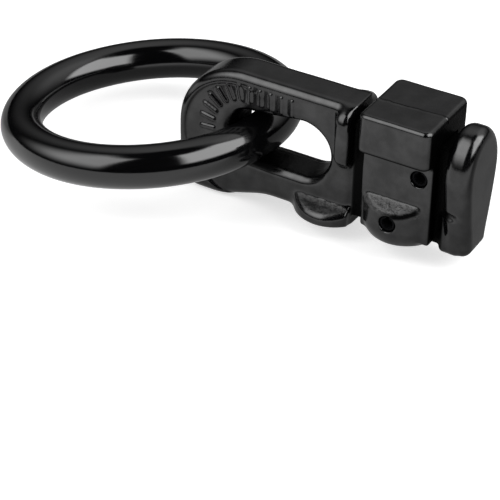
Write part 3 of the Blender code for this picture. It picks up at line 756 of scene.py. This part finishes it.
def rollPinPoints(halfLength):
    # C-shaped strip section carried along y: full thickness between the chamfers, none at the ends
    wall = (pins["radius"] - rollPin["bore"]) / 2
    middle = rollPin["bore"] + wall
    gap = rollPin["slit"] / middle / 2
    arc = np.linspace(math.pi / 2 + gap, 2.5 * math.pi - gap, rollPin["around"])
    angle = np.concatenate([arc, arc[::-1]])
    side = np.concatenate([np.ones_like(arc), -np.ones_like(arc)])
    tip = rollPin["tip"]
    # each row: end that it lies at, chamfers inwards from there, share of the wall
    ends = np.array([[-1, 0, 0], [-1, 0, tip], [-1, 1, 1], [1, -1, 1], [1, 0, tip], [1, 0, 0]])
    along = ends[:, 0] * halfLength + ends[:, 1] * rollPin["chamfer"]
    radius = middle + side[None, :] * wall * ends[:, 2][:, None]
    return np.stack([radius * np.cos(angle), np.broadcast_to(along[:, None], radius.shape),
                     radius * np.sin(angle)], -1).reshape(-1, 3), len(ends)


print("roll pins")
for name in ("upper", "lower"):
    pinX, pinZ = pins[name]
    points, rows = rollPinPoints(rollPin[name + "Half"])
    piece = meshPiece(f"{name}RollPin", points + [pinX, 0, pinZ],
                      gridFaces(rows, 2 * rollPin["around"]), pinSkin, "plunger_set",
                      f"{name}_roll_pin")
    piece.data.set_sharp_from_angle(angle=math.radians(rollPin["sharpFrom"]))

coil = {"rings": 160, "around": 14,      # points along the wire and round it
        "closed": 0.16,                  # share of the wire in each flat end turn
        "flatRise": 0.12,                # share of the rise that is spread over the whole wire
        "tip": 0.01}                     # mm, radius that closes the wire's ends


def springPoints():
    # wire circle carried along a helix whose first and last turns lie nearly flat
    share = np.linspace(0, 1, coil["rings"])
    turn = 2 * math.pi * springs["turns"] * share
    rise = np.clip((share - coil["closed"]) / (1 - 2 * coil["closed"]), 0, 1)
    rise = coil["flatRise"] * share + (1 - coil["flatRise"]) * rise
    radius = (springs["diameter"] - springs["wire"]) / 2
    along = springs["wire"] / 2 + rise * (springs["length"] - springs["wire"])
    path = np.stack([along, radius * np.cos(turn), radius * np.sin(turn)], 1)
    out = np.stack([0 * turn, np.cos(turn), np.sin(turn)], 1)
    ahead = np.gradient(path, axis=0)
    ahead /= np.linalg.norm(ahead, axis=1)[:, None]
    up = np.cross(ahead, out)
    around = np.linspace(0, 2 * math.pi, coil["around"], endpoint=False)
    size = np.full(coil["rings"], springs["wire"] / 2)
    size[[0, -1]] = coil["tip"]
    wire = (out[:, None, :] * np.cos(around)[None, :, None]
            + up[:, None, :] * np.sin(around)[None, :, None]) * size[:, None, None]
    return (path[:, None, :] + wire).reshape(-1, 3)


print("springs")
for name in ("upper", "lower"):
    pinX, pinZ = pins[name]
    start = pinX - pins["radius"] - springs["windowGap"] - springs["length"]
    piece = meshPiece(f"{name}Spring", springPoints() + [start, 0, pinZ],
                      gridFaces(coil["rings"], coil["around"]), springSkin, "casting",
                      f"{name}_spring")
    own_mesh(piece)


# camera, light and floor

view = {
    "azimuth": 30.876, "elevation": 34.866, "roll": 0.658,
    "place": (181.58, -368.82, 279.48),     # mm, x from the plunger's rear face
    "lens": 129.6, "sensor": 36.0,
    "clip": (0.02, 20.0),                   # m
}


def directionTo(azimuth, elevation):
    # unit vector towards a place in the sky: azimuth in degrees from -Y towards +X
    azimuth, elevation = math.radians(azimuth), math.radians(elevation)
    return Vector((math.sin(azimuth) * math.cos(elevation), -math.cos(azimuth) * math.cos(elevation),
                   math.sin(elevation)))


def addCamera():
    back = directionTo(view["azimuth"], view["elevation"])
    right = Vector((0, 0, 1)).cross(back).normalized()
    up = back.cross(right)
    roll = math.radians(view["roll"])
    leanRight = right * math.cos(roll) + up * math.sin(roll)
    leanUp = up * math.cos(roll) - right * math.sin(roll)
    data = bpy.data.cameras.new("camera")
    data.lens, data.sensor_width = view["lens"], view["sensor"]
    data.clip_start, data.clip_end = view["clip"]
    camera = bpy.data.objects.new("camera", data)
    scene.collection.objects.link(camera)
    place = (Vector(view["place"]) + Vector((rearFace, 0, 0))) * millimetre
    camera.matrix_world = Matrix.Translation(place) @ Matrix(
        (leanRight, leanUp, back)).transposed().to_4x4()
    scene.camera = camera


studio = {
    # soft boxes: azimuth and elevation ranges in degrees as seen from the fitting, brightness,
    # and how wide each edge fades: left, right, under, over
    "rightBox": {"azimuth": (55, 133), "elevation": (23, 70), "bright": 7.0, "fades": (5, 7, 5, 4)},
    "leftBox": {"azimuth": (-72, -8), "elevation": (20, 68), "bright": 4.4, "fades": (26, 5, 16, 5)},
    "backWall": {"azimuth": (-222, -112), "elevation": (36, 72), "bright": 0.85,
                 "fades": (6, 22, 32, 6)},
    "backCorner": {"azimuth": (-222, -176), "elevation": (20, 66), "bright": 0.5,
                   "fades": (6, 20, 20, 6)},
    "openLight": 0.55,            # even light from all round, for everything but reflections
    "lampWatts": {"rightBox": 3.4, "leftBox": 2.4},    # lamps that shape the shadow on the floor
    "lampSize": 0.5, "lampDistance": 1.0,              # m
}


def addLamp(box):
    # a square lamp in a soft box's direction; reflections show the world's box instead of it
    data = bpy.data.lights.new(box, "AREA")
    data.shape = "SQUARE"
    data.size = studio["lampSize"]
    data.energy = studio["lampWatts"][box]
    lamp = bpy.data.objects.new(box, data)
    scene.collection.objects.link(lamp)
    lamp.visible_glossy = False
    direction = directionTo(sum(studio[box]["azimuth"]) / 2, sum(studio[box]["elevation"]) / 2)
    lamp.location = direction * studio["lampDistance"]
    lamp.rotation_euler = (-direction).to_track_quat("-Z", "Y").to_euler()


def boxLight(tree, azimuth, elevation, box):
    # brightness of one soft box over the sky: each of its four edges fades what is left of it
    left, right, under, over = box["fades"]
    glow = box["bright"]
    for angle, edge, fade, rising in (
            (azimuth, box["azimuth"][0], left, True), (azimuth, box["azimuth"][1], right, False),
            (elevation, box["elevation"][0], under, True),
            (elevation, box["elevation"][1], over, False)):
        glow = addNode(tree, "ShaderNodeMapRange", {"interpolation_type": "SMOOTHSTEP"}, {
            "Value": angle, "From Min": math.radians(edge - fade), "From Max": math.radians(edge + fade),
            "To Min": 0.0 if rising else glow, "To Max": glow if rising else 0.0}).outputs["Result"]
    return glow


def directRays(tree):
    # Light Path's outputs, and 1 for what the camera sees by itself or through clear matter
    rays = addNode(tree, "ShaderNodeLightPath").outputs
    direct = addNode(tree, "ShaderNodeMath", {"operation": "MAXIMUM"}, {
        0: rays["Is Camera Ray"], 1: rays["Is Transmission Ray"]}).outputs[0]
    return rays, direct


def addStudio():
    # Reflections show two soft boxes and a dim wall behind in a dark room, the camera sees white,
    # and everything else gets an even light.
    for box in studio["lampWatts"]:
        addLamp(box)
    world = bpy.data.worlds.new("dark studio")
    scene.world = world
    world.use_nodes = True
    tree = world.node_tree
    background = tree.nodes["Background"]
    direction = addNode(tree, "ShaderNodeTexCoord").outputs["Generated"]
    part = addNode(tree, "ShaderNodeSeparateXYZ", inputs={"Vector": direction}).outputs
    ahead = addNode(tree, "ShaderNodeMath", {"operation": "MULTIPLY"}, {0: part["Y"], 1: -1.0})
    azimuth = addNode(tree, "ShaderNodeMath", {"operation": "ARCTAN2"}, {
        0: part["X"], 1: ahead.outputs[0]}).outputs[0]
    elevation = addNode(tree, "ShaderNodeMath", {"operation": "ARCSINE"}, {0: part["Z"]}).outputs[0]
    behind = addNode(tree, "ShaderNodeMath", {"operation": "WRAP"}, {
        0: azimuth, 1: 0.0, 2: -2 * math.pi}).outputs[0]      # no break at the back of the room
    glow = 0.0
    for box, turn in (("rightBox", azimuth), ("leftBox", azimuth),
                      ("backWall", behind), ("backCorner", behind)):
        glow = addNode(tree, "ShaderNodeMath", {"operation": "ADD"}, {
            0: glow, 1: boxLight(tree, turn, elevation, studio[box])}).outputs[0]
    rays, direct = directRays(tree)
    strength = addNode(tree, "ShaderNodeMix", {"data_type": "FLOAT"}, {
        "Factor": rays["Is Glossy Ray"], "A": studio["openLight"], "B": glow}).outputs["Result"]
    strength = addNode(tree, "ShaderNodeMix", {"data_type": "FLOAT"}, {
        "Factor": direct, "A": strength, "B": 1.0}).outputs["Result"]
    tree.links.new(strength, background.inputs["Strength"])
    background.inputs["Color"].default_value = (1, 1, 1, 1)


paper = {
    "size": 6.0,                  # m from the middle to each side
    "height": -0.0002,            # m, a hair under the fitting
    "colour": "#f4f4f4",
    "roughness": 0.9,
    "cameraGlow": 0.58,           # lifts the paper to white round the shadow
    "front": 1.25, "back": 0.3,   # brightness that the coat reflects before and behind the fitting
    "frontEnd": -62.0, "backStart": 12.0,   # mm along y
}


def addFloor():
    # White paper that glows white to the camera and keeps the fitting's soft shadow. Reflections
    # show it bright in front, where the boxes light it, and dim behind.
    size = paper["size"]
    mesh = bpy.data.meshes.new("paperFloor")
    corners = [(-size, -size), (size, -size), (size, size), (-size, size)]
    mesh.from_pydata([(x, y, paper["height"]) for x, y in corners], [], [(0, 1, 2, 3)])
    material, tree, shader = newMaterial("white paper sweep")
    shader.inputs["Base Color"].default_value = linearColour(paper["colour"])
    shader.inputs["Roughness"].default_value = paper["roughness"]
    shader.inputs["Specular IOR Level"].default_value = 0.0
    shader.inputs["Emission Color"].default_value = (1, 1, 1, 1)
    mesh.materials.append(material)
    floor = bpy.data.objects.new("paperFloor", mesh)
    scene.collection.objects.link(floor)
    rays, direct = directRays(tree)
    glow = addNode(tree, "ShaderNodeMath", {"operation": "MULTIPLY"}, {
        0: direct, 1: paper["cameraGlow"]}).outputs[0]
    tree.links.new(glow, shader.inputs["Emission Strength"])
    spot = addNode(tree, "ShaderNodeNewGeometry").outputs["Position"]
    depth = addNode(tree, "ShaderNodeSeparateXYZ", inputs={"Vector": spot}).outputs["Y"]
    bright = addNode(tree, "ShaderNodeMapRange", {"interpolation_type": "SMOOTHSTEP"}, {
        "Value": depth, "From Min": paper["frontEnd"] * millimetre,
        "From Max": paper["backStart"] * millimetre,
        "To Min": paper["front"], "To Max": paper["back"]}).outputs["Result"]
    mirrored = addNode(tree, "ShaderNodeEmission", inputs={"Strength": bright}).outputs[0]
    mixed = addNode(tree, "ShaderNodeMixShader", inputs={
        0: rays["Is Glossy Ray"], 1: shader.outputs[0], 2: mirrored}).outputs[0]
    tree.links.new(mixed, tree.nodes["Material Output"].inputs["Surface"])


print("camera, light and floor")
addCamera()
addStudio()
addFloor()
scene.view_settings.view_transform = "Standard"
